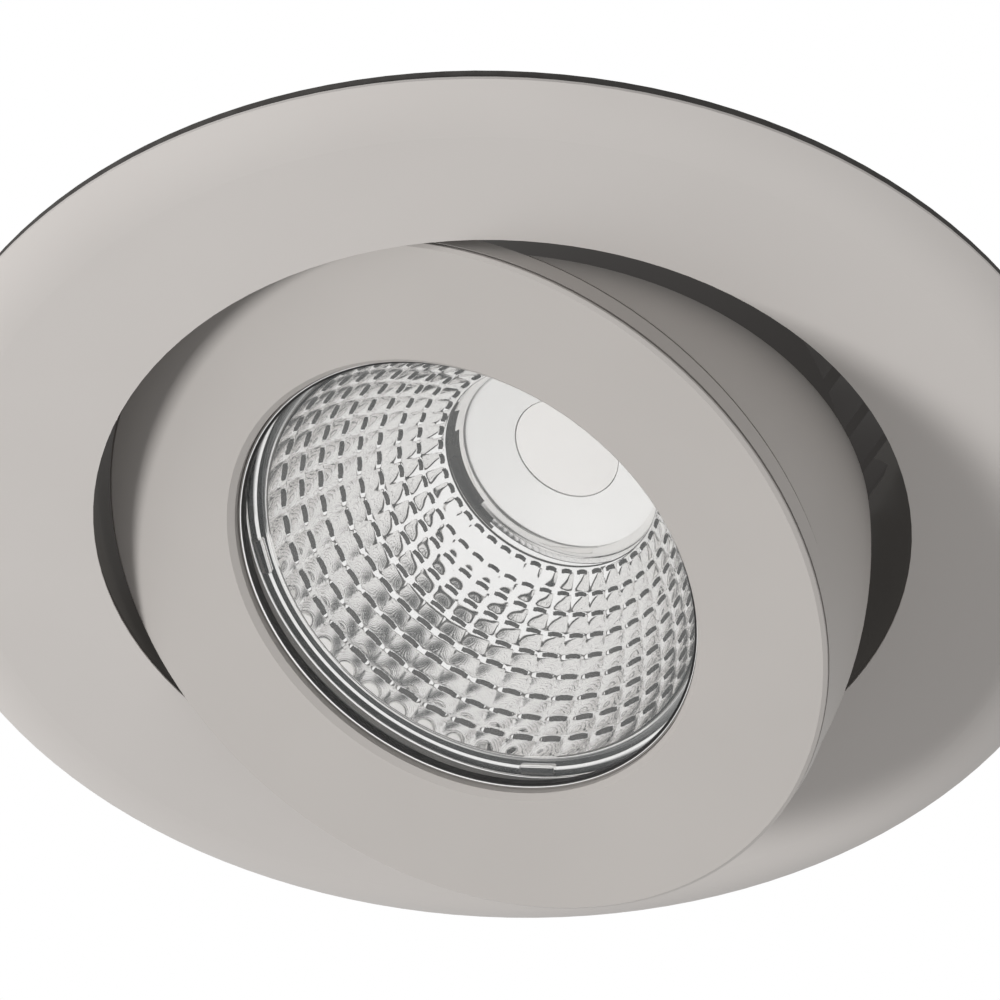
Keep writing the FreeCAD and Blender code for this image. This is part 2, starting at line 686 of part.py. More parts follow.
def make_reflector():
    """Bowl with a flange at its mouth, four tabs on the flange and a plain throat."""
    run = f"(dim.throat_depth - {MOUTH_DEPTH})"
    drop = f"({MOUTH_RADIUS} - dim.throat_radius)"
    chord = f"(sqrt({run} ^ 2 + {drop} ^ 2))"
    reach = f"(({chord} ^ 2 / 4 + dim.throat_bulge ^ 2) / (2 * dim.throat_bulge))"
    inward = f"(({reach} - dim.throat_bulge) / {chord})"
    centre = (f"({MOUTH_RADIUS} + dim.throat_radius) / 2 - {inward} * {run}",
              f"({MOUTH_DEPTH} + dim.throat_depth) / 2 - {inward} * {drop}")
    back = f"({centre[0]}) + sqrt(({reach} + dim.reflector_wall) ^ 2 - ({FLANGE_BACK} - ({centre[1]})) ^ 2)"
    bowl = turned_body("reflector_turned", [
        (SEATED_RADIUS, GLASS_BACK),
        (SEATED_RADIUS, FLANGE_BACK),
        (back, FLANGE_BACK),
        (None, "dim.throat_depth", centre),
        ("dim.outlet_radius + dim.reflector_wall", OUTLET_DEPTH),
        ("dim.outlet_radius", OUTLET_DEPTH),
        ("dim.throat_radius", "dim.throat_depth"),
        (None, MOUTH_DEPTH, centre),
        (MOUTH_RADIUS, GLASS_BACK),
    ])
    # Tabs stand on the flange's back, in the notches of the cup's lip.
    tabs = []
    for i in range(4):
        tab = doc.addObject("Part::Box", f"tab_{i}")
        bind(tab, Length="1", Width="dim.tab_width", Height="dim.tab_height")
        start, side = f"({SEATED_RADIUS} - 1.2)", "(-dim.tab_width / 2)"
        angle = f"dim.tab_angle + {i} * 90"
        cos, sin = f"cos(({angle}) * 1 deg)", f"sin(({angle}) * 1 deg)"
        placed(tab, f"{start} * {cos} - {side} * {sin}", f"{start} * {sin} + {side} * {cos}",
               FLANGE_BACK, ALONG_Z, angle)
        tabs.append(tab)
    node(join("reflector", [bowl] + tabs), "reflector", ON_HEAD)


def make_light_source():
    """White holder, light source on its board, and the pad under them."""
    top, front = HOLDER_TOP, HOLDER_FRONT
    hole = "dim.source_radius + dim.source_gap"
    disc = turned_body("holder_turned", [
        (hole, f"{front} + dim.dish_depth"),
        ("dim.outlet_radius", front),
        ("dim.holder_radius", front),
        ("dim.holder_radius", top),
        (hole, top),
    ])
    half = "dim.board_side / 2 + dim.board_gap"
    nest = box("board_nest", (f"-({half})", half), (f"-({half})", half), (BOARD_BOTTOM, f"{top} + 1"))
    places = ("dim.holder_screw_place", "-dim.holder_screw_place")
    depth = f"{top} - ({front})"
    holes = [cylinder(f"holder_hole_{i}", "dim.m2_radius", depth, y=y, z=front) for i, y in enumerate(places)]
    node(subtract("led_holder", disc, [nest] + holes), "led_holder", ON_HEAD)
    half = "dim.board_side / 2"
    board = box("board_blank", (f"-{half}", half), (f"-{half}", half), (BOARD_BOTTOM, top))
    node(group("board_in_place", [board]), "led_board", ON_HEAD)
    dome = cylinder("source_disc", "dim.source_radius", "dim.source_height",
                    z=f"{BOARD_BOTTOM} - dim.source_height")
    node(group("source_in_place", [dome]), "led_emitter", ON_HEAD)
    pad = cylinder("pad_disc", "dim.holder_radius", "dim.pad_thickness", z=top)
    pad_holes = [cylinder(f"pad_screw_hole_{i}", "dim.m2_radius", "dim.pad_thickness", y=y, z=top)
                 for i, y in enumerate(places)]
    node(subtract("thermal_pad", pad, pad_holes), "thermal_pad", ON_HEAD)
    screws = []
    for i, y in enumerate(places):
        fixing = screw(f"holder_screw_{i}", "dim.m2_radius", f"{depth} + dim.pad_thickness + dim.m2_length",
                       "dim.m2_head_radius", "dim.m2_head_height")
        screws.append(placed(fixing, "0", y, front, (1, 0, 0), "180"))
    node(group("holder_screws", screws), "holder_screws", ON_HEAD)


def make_heat_sink():
    """Cup round the reflector, floor behind the light source, fins round a hub."""
    cup = turned_body("sink_turned", [
        (CUP_INNER, FLANGE_BACK),
        (SEATED_RADIUS, FLANGE_BACK),
        (SEATED_RADIUS, "dim.collar_height"),
        (SINK_RADIUS, "dim.collar_height"),
        (SINK_RADIUS, FIN_BOTTOM),
        ("dim.hub_radius", FIN_BOTTOM),
        ("dim.hub_radius", SINK_TOP),
        ("0", SINK_TOP),
        ("0", SINK_FLOOR),
        (CUP_INNER, SINK_FLOOR),
    ])
    fins = []
    for i in range(int(value("dim.fin_count"))):
        fin = doc.addObject("Part::Box", f"fin_{i}")
        bind(fin, Length=f"{SINK_RADIUS} - dim.hub_radius + 1", Width="dim.fin_thickness",
             Height=f"{SINK_TOP} - {FIN_BOTTOM} + 0.5")
        start, side = "(dim.hub_radius - 1)", "(-dim.fin_thickness / 2)"
        angle = f"{i} * 360 / dim.fin_count"
        cos, sin = f"cos(({angle}) * 1 deg)", f"sin(({angle}) * 1 deg)"
        placed(fin, f"{start} * {cos} - {side} * {sin}", f"{start} * {sin} + {side} * {cos}",
               f"{FIN_BOTTOM} - 0.5", ALONG_Z, angle)
        fins.append(fin)
    limit = cylinder("fin_limit", SINK_RADIUS, f"{SINK_TOP} - {FIN_BOTTOM} + 0.5",
                     z=f"{FIN_BOTTOM} - 0.5")
    trimmed = doc.addObject("Part::MultiCommon", "fins_trimmed")
    trimmed.Shapes = [join("fins_blank", fins), limit]
    ears, holes = [], []
    for i in range(3):
        x, y = around(BOSS_CIRCLE, f"60 + {i} * 120")
        ears.append(cylinder(f"sink_ear_{i}", "dim.sink_ear_radius", "dim.sink_ear_thickness",
                             x, y, "dim.collar_height"))
        holes.append(cylinder(f"sink_ear_hole_{i}", "dim.m3_radius", "dim.sink_ear_thickness",
                              x, y, "dim.collar_height"))
    hollow = cylinder("ear_limit", CUP_INNER, "dim.sink_ear_thickness", z="dim.collar_height")
    thread = cylinder("gland_hole", "dim.gland_thread_radius", "dim.gland_thread_length",
                      z=f"{SINK_TOP} - dim.gland_thread_length")
    wire_way = cylinder("wire_way", "dim.wire_way_radius", SINK_TOP, z=f"{SINK_FLOOR} - 1")
    for i, y in enumerate(("dim.holder_screw_place", "-dim.holder_screw_place")):
        holes.append(cylinder(f"floor_hole_{i}", "dim.m2_radius", "dim.m2_length", y=y, z=SINK_FLOOR))
    for i in range(4):
        notch = doc.addObject("Part::Box", f"tab_notch_{i}")
        bind(notch, Length="1.4", Width="dim.tab_width + 2 * dim.seat_gap", Height="dim.tab_height + dim.seat_gap")
        start, side = f"({SEATED_RADIUS} - 1.3)", "(-dim.tab_width / 2 - dim.seat_gap)"
        angle = f"dim.tab_angle + {i} * 90"
        cos, sin = f"cos(({angle}) * 1 deg)", f"sin(({angle}) * 1 deg)"
        placed(notch, f"{start} * {cos} - {side} * {sin}", f"{start} * {sin} + {side} * {cos}",
               FLANGE_BACK, ALONG_Z, angle)
        holes.append(notch)
    whole = join("sink_joined", [cup, trimmed] + ears)
    node(subtract("heat_sink", whole, holes + [hollow, thread, wire_way]), "heat_sink", ON_HEAD)


def make_head_screws():
    """Three screws from the heat sink's ears into the gimbal ring's bosses."""
    screws = []
    for i in range(3):
        x, y = around(BOSS_CIRCLE, f"60 + {i} * 120")
        fixing = screw(f"head_screw_{i}", "dim.m3_radius", "dim.m3_length", "dim.m3_head_radius",
                       "dim.m3_head_height")
        screws.append(placed(fixing, x, y, "dim.collar_height + dim.sink_ear_thickness"))
    node(group("head_screws", screws), "head_screws", ON_HEAD)


def make_cable_gland():
    """Threaded inlet with a hexagon and a round clamping cap, bored through."""
    stem = cylinder("gland_stem", "dim.gland_thread_radius", "dim.gland_thread_length",
                    z=f"{SINK_TOP} - dim.gland_thread_length")
    nut = hexagon("gland_hex", "dim.gland_hex_across / sqrt(3)", "dim.gland_hex_height", SINK_TOP)
    cap_bottom = f"{SINK_TOP} + dim.gland_hex_height"
    cap = cylinder("gland_cap", "dim.gland_cap_radius", "dim.gland_cap_height", z=cap_bottom)
    bore = cylinder("gland_bore", "dim.gland_bore_radius",
                    "dim.gland_thread_length + dim.gland_hex_height + dim.gland_cap_height",
                    z=f"{SINK_TOP} - dim.gland_thread_length")
    node(subtract("cable_gland", join("gland_joined", [stem, nut, cap]), [bore]), "cable_gland", ON_HEAD)


# ---------------------------------------------------------------- sprung arms


def make_bracket(side, frame):
    """U-shaped bracket on the neck, with a plate and two cheeks."""
    cheek_outer = "(dim.cheek_inner + dim.bracket_plate)"
    top = "(dim.pin_height + dim.pin_radius + 1.4)"
    plate = box(f"plate_{side}", (NECK_OUTER, PLATE_FACE), (f"-{cheek_outer}", cheek_outer),
                ("dim.bracket_bottom", top))
    reach = f"{NECK_OUTER} + dim.bracket_reach"
    cheeks, holes = [], []
    for row, ends in (("front", (f"-{cheek_outer}", "-dim.cheek_inner")), ("rear", ("dim.cheek_inner", cheek_outer))):
        cheeks.append(box(f"cheek_{side}_{row}", (NECK_OUTER, reach), ends, ("dim.cheek_bottom", top)))
        holes.append(cylinder(f"cheek_hole_{side}_{row}", "dim.pin_radius", "dim.bracket_plate",
                              PIN_PLACE, ends[0], "dim.pin_height", "y"))
        middle = "-dim.clip_screw_spacing / 2" if row == "front" else "dim.clip_screw_spacing / 2"
        hole = doc.addObject("Part::Cylinder", f"plate_hole_{side}_{row}")
        bind(hole, Radius="dim.m2_radius", Height="dim.bracket_plate")
        holes.append(placed(hole, NECK_OUTER, middle, "dim.clip_screw_height", ALONG_Y, "90"))
    whole = join(f"bracket_joined_{side}", [plate] + cheeks)
    node(subtract(f"clip_bracket_{side}", whole, holes), f"clip_bracket_{side}", frame)


def make_clip_pin(side, frame):
    """Headed pin through the bracket's cheeks."""
    half = "(dim.cheek_inner + dim.bracket_plate)"
    shank = cylinder(f"clip_shank_{side}", "dim.pin_radius", f"2 * {half} + 2 * dim.pin_head_height", PIN_PLACE,
                     f"-{half} - dim.pin_head_height", "dim.pin_height", "y")
    heads = [cylinder(f"clip_head_{side}_{row}", "dim.pin_head_radius", "dim.pin_head_height", PIN_PLACE,
                      start, "dim.pin_height", "y")
             for row, start in (("front", f"-{half} - dim.pin_head_height"), ("rear", half))]
    node(join(f"clip_pin_{side}", [shank] + heads), f"clip_pin_{side}", frame)


def make_arm(side, frame):
    """Flat spring arm with an eye at each side of the coil, and its soft sleeve."""
    plate_top = "(dim.arm_lift + dim.arm_thickness)"
    plate = box(f"arm_plate_{side}", ("dim.arm_start", "dim.arm_length"), ("-dim.eye_outer", "dim.eye_outer"),
                ("dim.arm_lift", plate_top))
    parts, holes = [plate], []
    eye_inner = "dim.eye_outer - dim.eye_thickness"
    for row, start in (("front", "-dim.eye_outer"), ("rear", eye_inner)):
        parts.append(cylinder(f"eye_{side}_{row}", "dim.eye_radius", "dim.eye_thickness", "0", start, "0", "y"))
        parts.append(box(f"eye_web_{side}_{row}", ("0", "dim.arm_start + 2"), (start, f"{start} + dim.eye_thickness"),
                         ("-dim.eye_radius / 2", plate_top)))
        holes.append(cylinder(f"eye_hole_{side}_{row}", "dim.pin_radius + dim.pin_running_gap",
                              "dim.eye_thickness", "0", start, "0", "y"))
    arm = subtract(f"clip_arm_{side}", join(f"arm_joined_{side}", parts), holes)
    node(arm, f"clip_arm_{side}", f"{frame} * arm_frame.Placement")
    start = "dim.arm_length - dim.sleeve_length"
    outside = "dim.eye_outer + dim.sleeve_wall"
    block = box(f"sleeve_block_{side}", (start, "dim.arm_length + dim.sleeve_overhang"), (f"-({outside})", outside),
                ("dim.arm_lift - dim.sleeve_wall", f"{plate_top} + dim.sleeve_wall"))
    rounded = doc.addObject("Part::Fillet", f"sleeve_rounded_{side}")
    rounded.Base = block
    doc.recompute()
    limit = value("dim.sleeve_wall") * 0.9
    rounded.Edges = [(i + 1, limit, limit) for i in range(len(block.Shape.Edges))]
    slot = box(f"sleeve_slot_{side}", (start, "dim.arm_length"), ("-dim.eye_outer", "dim.eye_outer"),
               ("dim.arm_lift", plate_top))
    node(subtract(f"clip_sleeve_{side}", rounded, [slot]), f"clip_sleeve_{side}",
         f"{frame} * arm_frame.Placement")


def biarc(start, start_way, end, end_way):
    """Two arcs that join two points smoothly, for unit directions at both."""
    gap = end - start
    along = gap.dot(start_way + end_way)
    turn = 2 * (1 - start_way.dot(end_way))
    reach = (-along + math.sqrt(along**2 + turn * gap.dot(gap))) / turn
    first = start + start_way * reach
    second = end - end_way * reach
    middle = (first + second) / 2
    return [arc_edge(start, first, middle), arc_edge(middle, second, end)]


def arc_edge(start, corner, end):
    """The arc from start to end whose end tangents meet at the corner."""
    weight = start.distanceToPoint(end) / 2 / start.distanceToPoint(corner)
    crown = (start + corner * (2 * weight) + end) / (2 + 2 * weight)
    return Part.Arc(start, crown, end).toShape()


def spring_path(radius, pitch, plate_leg, arm_leg, droop, full_turns):
    """A leg up the bracket, whole turns about +Y, and a leg along the arm; returns the wire."""
    first_angle = math.pi
    sweep = 2 * math.pi * full_turns + first_angle - (math.pi / 2 - math.radians(droop))
    rise = pitch / (2 * math.pi)
    length = math.hypot(radius, rise)

    def at(turned):
        angle = first_angle - turned
        spot = FreeCAD.Vector(radius * math.cos(angle), rise * (turned - sweep / 2), radius * math.sin(angle))
        way = FreeCAD.Vector(radius * math.sin(angle), rise, -radius * math.cos(angle)) / length
        return spot, way

    steps = 4 * full_turns + 2
    spots = [at(sweep * i / steps) for i in range(steps + 1)]
    edges = [Part.LineSegment(spots[0][0] - spots[0][1] * plate_leg, spots[0][0]).toShape()]
    for (here, way), (there, next_way) in zip(spots, spots[1:]):
        edges += biarc(here, way, there, next_way)
    edges.append(Part.LineSegment(spots[-1][0], spots[-1][0] + spots[-1][1] * arm_leg).toShape())
    return Part.Wire(edges), [spot for spot, _ in (at(sweep * i / 400) for i in range(401))]


def least_gap(points, wire_radius, turn_points):
    """The least distance between neighbouring turns, less the wire."""
    far = [a.distanceToPoint(b) for i, a in enumerate(points) for b in points[i + turn_points:]]
    return min(far) - 2 * wire_radius


def make_spring(side, frame):
    """Torsion spring round the pin: one wire from the bracket's plate to the arm."""
    wire_radius = value("dim.wire_radius")
    path, points = spring_path(value("dim.coil_radius"), value("dim.coil_pitch"), value("dim.coil_plate_leg"),
                               value("dim.coil_arm_leg"), value("dim.arm_droop_angle"),
                               int(value("dim.coil_full_turns")))
    gap = least_gap(points, wire_radius, len(points) // (int(value("dim.coil_full_turns")) + 1))
    print(f"clip spring {side}: least gap between turns {gap:.2f} mm")
    start = path.Edges[0].Vertexes[0].Point
    way = path.Edges[0].tangentAt(path.Edges[0].FirstParameter)
    ring = Part.Wire(Part.makeCircle(wire_radius, start, way))
    spring = doc.addObject("Part::Feature", f"clip_spring_{side}")
    spring.Shape = path.makePipeShell([ring], True, True)
    spring.Label = f"clip_spring_{side}"
    local = FreeCAD.Vector(value(PIN_PLACE), 0, value("dim.pin_height"))
    turned = doc.getObject(f"{side}_frame").Placement
    spring.Placement = turned.multiply(FreeCAD.Placement(local, FreeCAD.Rotation()))
    nodes.append(spring)


def make_clip_screws():
    """Four screws that hold the brackets to the neck."""
    screws = []
    for side, sign, turn in (("right", "", "90"), ("left", "-", "-90")):
        for row, middle in (("front", "-dim.clip_screw_spacing / 2"), ("rear", "dim.clip_screw_spacing / 2")):
            fixing = screw(f"clip_screw_{side}_{row}", "dim.m2_radius", "dim.m2_length", "dim.m2_head_radius",
                           "dim.m2_head_height")
            screws.append(placed(fixing, f"{sign}{PLATE_FACE}", middle, "dim.clip_screw_height", ALONG_Y, turn))
    node(group("clip_screws", screws), "clip_screws")


make_trim_ring()
make_gasket()
make_snap_ring()
make_carrier()
make_pivot_pins()
make_friction_washers()
make_head_ring()
make_glass()
make_reflector()
make_light_source()
make_heat_sink()
make_head_screws()
make_cable_gland()
make_clip_screws()
doc.recompute()
for side_name, side_frame in SIDES.items():
    make_bracket(side_name, side_frame)
    make_clip_pin(side_name, side_frame)
    make_arm(side_name, side_frame)
    make_spring(side_name, side_frame)
doc.recompute()

for item in doc.Objects:
    if "Invalid" in item.State or "Error" in item.State:
        raise RuntimeError(f"{item.Label} did not compute: {item.State}")
for item in nodes:
    if item.Shape.isNull() or not item.Shape.isValid() or not item.Shape.Solids:
        raise RuntimeError(f"{item.Label} has no valid solid")

os.makedirs("parts", exist_ok=True)
for item in nodes:
    item.Shape.exportStep(f"parts/{item.Label}.step")
    extent = item.Shape.BoundBox
    print(f"{item.Label:20s} solids {len(item.Shape.Solids)} volume {item.Shape.Volume:9.1f}"
          f"  z {extent.ZMin:6.1f} to {extent.ZMax:6.1f}")
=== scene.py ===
import math

import bmesh
import bpy
from mathutils import Matrix, Vector


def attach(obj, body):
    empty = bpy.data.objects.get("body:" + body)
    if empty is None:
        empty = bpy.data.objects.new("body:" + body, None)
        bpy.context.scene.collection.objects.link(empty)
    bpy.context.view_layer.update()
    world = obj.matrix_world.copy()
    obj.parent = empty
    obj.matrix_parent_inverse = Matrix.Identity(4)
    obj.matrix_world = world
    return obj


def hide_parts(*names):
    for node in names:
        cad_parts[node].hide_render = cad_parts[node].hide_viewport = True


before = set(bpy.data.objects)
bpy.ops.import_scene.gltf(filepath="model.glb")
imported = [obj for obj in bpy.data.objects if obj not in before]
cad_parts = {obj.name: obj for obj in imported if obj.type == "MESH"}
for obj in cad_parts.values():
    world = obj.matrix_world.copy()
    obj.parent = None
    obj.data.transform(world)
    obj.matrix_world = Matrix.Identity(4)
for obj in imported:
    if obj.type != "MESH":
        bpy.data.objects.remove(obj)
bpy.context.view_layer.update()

MM = 0.001

# ---------------------------------------------------------------- the head's own frame
# Origin at the centre of the head's front face, +Z from the face towards the heat sink,
# +X towards the side that swings out, +Y along the hinge. Lengths are in millimetres.

SWIVEL = math.radians(22.95)
TILT = math.radians(24.3)
HINGE_OFFSET = 19.6
HINGE_HEIGHT = 1.9
TRIM_DEPTH = 3.1
HINGE_DEPTH = HINGE_HEIGHT + TRIM_DEPTH


def head_matrix():
    """From the head's frame in millimetres to the object's frame in metres."""
    turn = Matrix.Rotation(SWIVEL, 4, "Z") @ Matrix.Rotation(TILT, 4, "Y")
    along = HINGE_OFFSET * (math.cos(TILT) - 1) - HINGE_DEPTH * math.sin(TILT)
    up = HINGE_HEIGHT - HINGE_OFFSET * math.sin(TILT) - HINGE_DEPTH * math.cos(TILT)
    base = Matrix.Rotation(SWIVEL, 4, "Z") @ Vector((along, 0, up))
    return Matrix.Scale(MM, 4) @ Matrix.Translation(base) @ turn


HEAD = head_matrix()

# ---------------------------------------------------------------- materials

# Most of a noise texture lies between these two values.
NOISE_LOW, NOISE_HIGH = 0.3, 0.7


def new_material(name):
    material = bpy.data.materials.new(name)
    material.use_nodes = True
    tree = material.node_tree
    shader = tree.nodes["Principled BSDF"]
    return material, tree, shader


def noise_node(tree, scale, detail, stretch=None):
    """Noise on object coordinates, in cycles per metre; stretch scales the axes."""
    coords = tree.nodes.new("ShaderNodeTexCoord")
    noise = tree.nodes.new("ShaderNodeTexNoise")
    noise.inputs["Scale"].default_value = scale
    noise.inputs["Detail"].default_value = detail
    if stretch:
        mapping = tree.nodes.new("ShaderNodeMapping")
        mapping.inputs["Scale"].default_value = stretch
        tree.links.new(coords.outputs["Object"], mapping.inputs["Vector"])
        tree.links.new(mapping.outputs["Vector"], noise.inputs["Vector"])
    else:
        tree.links.new(coords.outputs["Object"], noise.inputs["Vector"])
    return noise


def ramp_colour(tree, source, low, high):
    """Colour that goes from low to high as the noise rises."""
    ramp = tree.nodes.new("ShaderNodeValToRGB")
    stops = ramp.color_ramp.elements
    stops[0].position = NOISE_LOW
    stops[0].color = (*low, 1)
    stops[1].position = NOISE_HIGH
    stops[1].color = (*high, 1)
    tree.links.new(source, ramp.inputs["Fac"])
    return ramp.outputs["Color"]


def map_range(tree, source, low, high, start=NOISE_LOW, end=NOISE_HIGH):
    """Takes start..end to low..high, and holds the ends."""
    node = tree.nodes.new("ShaderNodeMapRange")
    node.inputs["From Min"].default_value = start
    node.inputs["From Max"].default_value = end
    node.inputs["To Min"].default_value = low
    node.inputs["To Max"].default_value = high
    tree.links.new(source, node.inputs["Value"])
    return node.outputs["Result"]


def add_bump(tree, shader, source, strength, distance):
    bump = tree.nodes.new("ShaderNodeBump")
    bump.inputs["Strength"].default_value = strength
    bump.inputs["Distance"].default_value = distance
    tree.links.new(source, bump.inputs["Height"])
    tree.links.new(bump.outputs["Normal"], shader.inputs["Normal"])


def surface(name, low, high, rough, metallic=0.0, patch=60.0, grain=2500.0, bump=0.05, depth=2e-5,
            specular=None, stretch=None, glow=0.0):
    """A surface with slow colour and roughness change and a fine grain.

    low, high and rough are the ends of its colour and roughness; patch and grain are the
    scales of the slow and the fine noise.
    """
    material, tree, shader = new_material(name)
    slow = noise_node(tree, patch, detail=4.0)
    fine = noise_node(tree, grain, detail=2.0, stretch=stretch)
    tree.links.new(ramp_colour(tree, slow.outputs["Fac"], low, high), shader.inputs["Base Color"])
    tree.links.new(map_range(tree, slow.outputs["Fac"], rough[0], rough[1]), shader.inputs["Roughness"])
    shader.inputs["Metallic"].default_value = metallic
    if specular is not None:
        shader.inputs["Specular IOR Level"].default_value = specular
    # glow makes the surface give off light of its own colour, though it is no lamp: painted light.
    if glow:
        shader.inputs["Emission Color"].default_value = (*high, 1)
        shader.inputs["Emission Strength"].default_value = glow
    add_bump(tree, shader, fine.outputs["Fac"], bump, depth)
    return material


SATIN = surface("satin_nickel", (0.542, 0.514, 0.492), (0.560, 0.532, 0.510), (0.50, 0.56), metallic=0.15,
                patch=45.0, grain=9000.0, bump=0.10, depth=5e-6, specular=0.15)
# The head's satin nickel is a darker copy of the trim's. This is painted shade, so the head's face shows
# less lit than the trim.
SATIN_HEAD_PAINTED_SHADE = surface("satin_nickel_head_painted_shade", (0.452, 0.427, 0.406), (0.470, 0.444, 0.422), (0.48, 0.54),
                     metallic=0.15, patch=45.0, grain=9000.0, bump=0.10, depth=5e-6, specular=0.15)
# The black coating and the sink's black glow a little. This is painted light that lifts the black parts
# seen in the gap round the head.
BLACK = surface("black_coating", (0.050, 0.046, 0.043), (0.058, 0.054, 0.050), (0.7, 0.8), grain=4000.0,
                bump=0.2, depth=2e-5, specular=0.1, glow=0.45)
SINK = surface("sink_black", (0.040, 0.038, 0.036), (0.048, 0.045, 0.043), (0.6, 0.7), grain=5000.0,
               bump=0.15, depth=2e-5, specular=0.15, glow=0.7)
CHROME = surface("reflector_chrome", (0.86, 0.85, 0.84), (0.9, 0.89, 0.88), (0.04, 0.07), metallic=1.0,
                 patch=200.0, grain=4000.0, bump=0.03, depth=1e-5)
# Dark metal that paints dark reflections on the reflector's cells and throat, and shade in its throat
# groove.
PAINTED_SHADE_AND_REFLECTION = surface("reflector_painted_shade_and_reflection", (0.055, 0.051, 0.048), (0.080, 0.075, 0.071), (0.24, 0.32),
                 metallic=1.0, patch=300.0, grain=4000.0, bump=0.03, depth=1e-5)
WHITE = surface("white_plastic", (0.76, 0.75, 0.735), (0.80, 0.79, 0.775), (0.35, 0.45), grain=3000.0,
                bump=0.05)
PHOSPHOR = surface("led_phosphor", (0.76, 0.74, 0.72), (0.79, 0.77, 0.75), (0.3, 0.36), grain=2500.0,
                   bump=0.01)
BOARD = surface("board_aluminium", (0.7, 0.7, 0.69), (0.76, 0.76, 0.75), (0.35, 0.45), metallic=0.4)
RUBBER = surface("black_rubber", (0.012, 0.012, 0.012), (0.022, 0.021, 0.021), (0.35, 0.45), bump=0.03,
                 specular=0.5)
FOAM = surface("gasket_foam", (0.062, 0.058, 0.055), (0.088, 0.084, 0.080), (0.85, 0.95), patch=900.0,
               grain=2600.0, bump=0.5, depth=6e-5, specular=0.15)
ZINC = surface("bracket_steel", (0.50, 0.50, 0.51), (0.62, 0.62, 0.62), (0.25, 0.4), metallic=1.0,
               patch=350.0, grain=3000.0, bump=0.1, stretch=(0.15, 1, 1))
SCREW = surface("steel_screws", (0.45, 0.45, 0.46), (0.6, 0.6, 0.6), (0.22, 0.34), metallic=1.0,
                patch=800.0, grain=4000.0, bump=0.08)
SPRING = surface("spring_steel", (0.42, 0.42, 0.42), (0.55, 0.55, 0.55), (0.2, 0.3), metallic=1.0,
                 patch=900.0, grain=6000.0, bump=0.05)
NYLON = surface("black_plastic", (0.02, 0.02, 0.02), (0.032, 0.032, 0.032), (0.4, 0.5), grain=3500.0,
                bump=0.12, specular=0.45)
PAD = surface("grey_pad", (0.17, 0.18, 0.2), (0.21, 0.22, 0.24), (0.7, 0.8), grain=1800.0, bump=0.3)


def glass_material():
    material, tree, shader = new_material("clear_glass")
    shader.inputs["Base Color"].default_value = (0.9, 0.93, 0.93, 1)
    shader.inputs["Roughness"].default_value = 0.02
    shader.inputs["Alpha"].default_value = 0.05
    return material


GLASS = glass_material()

FINISHES = {
    "trim_ring": SATIN, "gimbal_ring": SATIN_HEAD_PAINTED_SHADE, "ceiling_gasket": FOAM, "glass_seal": RUBBER,
    "snap_ring": SPRING, "clip_screws": SCREW, "clip_bracket_right": ZINC, "clip_bracket_left": ZINC,
    "clip_pin_right": SCREW, "clip_pin_left": SCREW, "clip_spring_right": SPRING,
    "clip_spring_left": SPRING, "clip_arm_right": ZINC, "clip_arm_left": ZINC,
    "clip_sleeve_right": RUBBER, "clip_sleeve_left": RUBBER, "carrier_ring": BLACK,
    "pivot_pins": SCREW, "friction_washers": NYLON, "front_glass": GLASS, "reflector": CHROME,
    "led_holder": WHITE, "led_board": BOARD, "led_emitter": PHOSPHOR, "thermal_pad": PAD,
    "holder_screws": SCREW, "heat_sink": SINK, "head_screws": SCREW, "cable_gland": NYLON,
}
for node_name, finish in FINISHES.items():
    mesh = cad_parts[node_name].data
    mesh.materials.clear()
    mesh.materials.append(finish)

# ---------------------------------------------------------------- mesh helpers


def add_object(name, mesh, matrix, material, slot, body, *replaced, sharp=35.0):
    """Puts a mesh in millimetres into the row frame, and lets it ride."""
    mesh.transform(matrix)
    mesh.materials.append(material)
    for polygon in mesh.polygons:
        polygon.use_smooth = True
    mesh.set_sharp_from_angle(angle=math.radians(sharp))
    piece = bpy.data.objects.new(name, mesh)
    bpy.context.collection.objects.link(piece)
    if replaced:
        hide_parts(*replaced)
    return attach(piece, body)


def grid_mesh(name, rows, closed_profile=False):
    """A skin over rows of points; each row closes on itself."""
    count = len(rows[0])
    points = [point for row in rows for point in row]
    faces = []
    last = len(rows) if closed_profile else len(rows) - 1
    for i in range(last):
        j = (i + 1) % len(rows)
        for k in range(count):
            n = (k + 1) % count
            faces.append((i * count + k, i * count + n, j * count + n, j * count + k))
    mesh = bpy.data.meshes.new(name)
    mesh.from_pydata(points, [], faces)
    mesh.update()
    return mesh


# ---------------------------------------------------------------- faceted reflector
# Points of its section are (radius, depth behind the face).

MOUTH = (21.5, 4.4)
THROAT = (10.9, 20.3)
BULGE = 1.5
WALL = 0.9
FLANGE_BACK = 4.7
BACK_STEPS = 24

# The cells: columns round the bowl, rows that end at these shares of the way from the mouth
# to the throat, and how deep the hollows are.
COLUMNS = 44
ROWS = (0.0, 0.13, 0.246, 0.361, 0.475, 0.58, 0.686, 0.791, 0.89, 1.0)
HOLLOW_AT_MOUTH = 0.26
HOLLOW_AT_THROAT = 0.15

# A cell's ledge, as shares of the cell: its length, its far end, how far that end bows, and the half width
# of its painted dark reflection.
LEDGE = 0.20
LEDGE_END = 0.985
LEDGE_BOW = 0.13
PAINTED_LEDGE_HALF = 0.66

# A cell's mesh: steps across, and steps along that are finest at the ledge.
ACROSS = 12
ALONG = (0.0, 0.12, 0.28, 0.44, 0.58, 0.66, 0.71, 0.75, 0.78, 0.805, 0.83, 0.855, 0.88, 0.905,
         0.93, 0.955, 0.98)

# Section of the rim, from the flange's back round its edge to the mouth.
RIM = ((24.4, 4.7), (24.4, 4.05), (24.25, 3.92), (23.6, 3.93), (23.55, 3.98), (23.5, 4.1), (23.35, 4.12),
       (22.95, 4.2), (22.7, 4.32), (22.64, 4.4), (22.58, 4.41), (22.1, 4.42), (22.04, 4.44), (21.98, 4.6),
       (21.92, 4.62), (21.82, 4.55), (21.7, 4.46), (21.6, 4.43))
